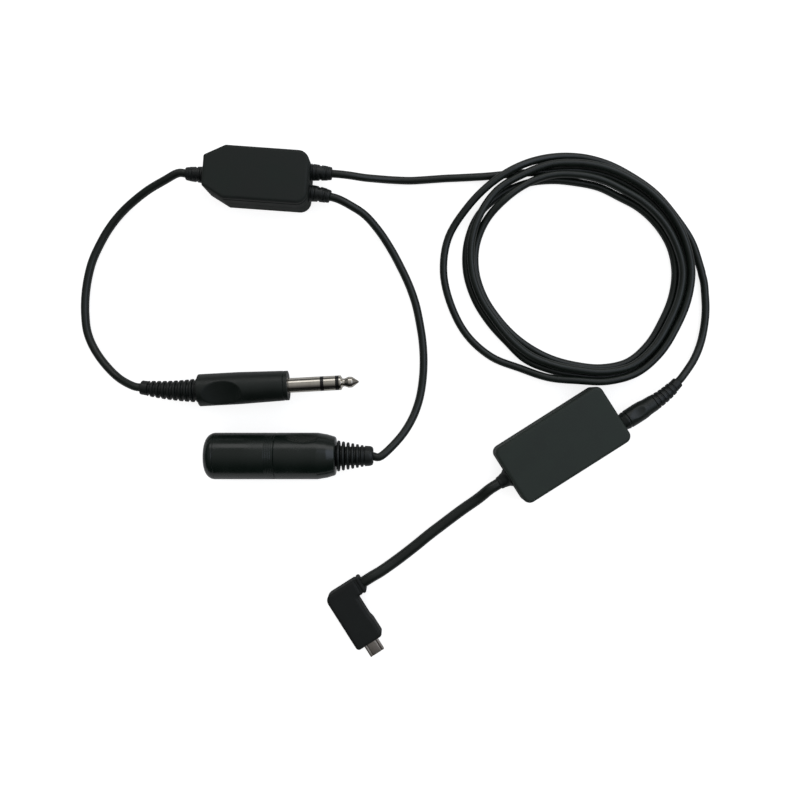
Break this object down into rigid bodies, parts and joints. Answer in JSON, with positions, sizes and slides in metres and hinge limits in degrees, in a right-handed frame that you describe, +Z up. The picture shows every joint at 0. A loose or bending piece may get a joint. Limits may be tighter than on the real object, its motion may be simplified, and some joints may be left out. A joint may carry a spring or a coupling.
{
  "type": "aviation headset audio adapter lead",
  "caption": "Black audio adapter lead for an aviation headset: splitter box, metal jack plug, in-line jack, and a coiled lead to a camera adapter with an angled mini USB plug.",
  "frame": {"origin": "centre of the splitter box's flat underside, on the table that everything lies on", "axes": "+X along the splitter box towards the end where two leads leave side by side, +Y across it towards the recorder lead's side, +Z up from the table; all poses are as laid out"},
  "size_m": [0.2748, 0.2255, 0.0199],
  "materials": {
    "moulded_black": "matte",
    "adapter_black": "satin",
    "soft_black": "satin",
    "cord_black": "semi-gloss",
    "nickel": "polished",
    "plated_steel": "satin",
    "washer_black": "gloss",
    "carrier_grey": "matte",
    "spring_brass": "satin",
    "circuit_board": "satin",
    "transformer_core": "satin",
    "component_film": "satin",
    "component_black": "matte"
  },
  "bodies": {
    "harness": {"splitter_base": "moulded_black", "splitter_cover": "moulded_black", "splitter_board": "circuit_board", "splitter_transformer": "transformer_core", "splitter_components": "component_film", "plug_lead_exit": "soft_black", "jack_lead_exit": "soft_black", "recorder_lead_exit": "soft_black", "plug_handle": "moulded_black", "plug_strain_relief": "soft_black", "plug_sleeve": "nickel", "plug_ring": "nickel", "plug_tip": "nickel", "plug_rear_washer": "washer_black", "plug_front_washer": "washer_black", "jack_barrel": "moulded_black", "jack_rear_cap": "moulded_black", "jack_bushing": "nickel", "jack_carrier": "carrier_grey", "jack_tip_spring": "spring_brass", "jack_ring_spring": "spring_brass", "jack_strain_relief": "soft_black", "mini_plug_grip": "moulded_black", "mini_plug_strain_relief": "soft_black", "mini_plug_sleeve": "nickel", "mini_plug_ring": "nickel", "mini_plug_tip": "nickel", "mini_plug_rear_washer": "washer_black", "mini_plug_front_washer": "washer_black", "lead_to_plug": "cord_black", "lead_to_jack": "cord_black", "recorder_lead": "cord_black", "recorder_coil": "cord_black", "recorder_tail": "cord_black"},
    "camera_adapter": {"adapter_base": "adapter_black", "adapter_cover": "adapter_black", "adapter_board": "circuit_board", "adapter_components": "component_black", "adapter_socket": "carrier_grey", "adapter_socket_springs": "spring_brass", "adapter_grommet": "soft_black", "usb_overmould": "moulded_black", "usb_shell": "plated_steel", "usb_tongue": "washer_black", "usb_contacts": "spring_brass", "camera_lead": "cord_black"}
  },
  "joints": [
    {"name": "adapter_pull", "type": "slide", "parent": "harness", "child": "camera_adapter", "axis": [-0.8039, -0.5948, 0], "range_m": [0, 0.015]}
  ]
}
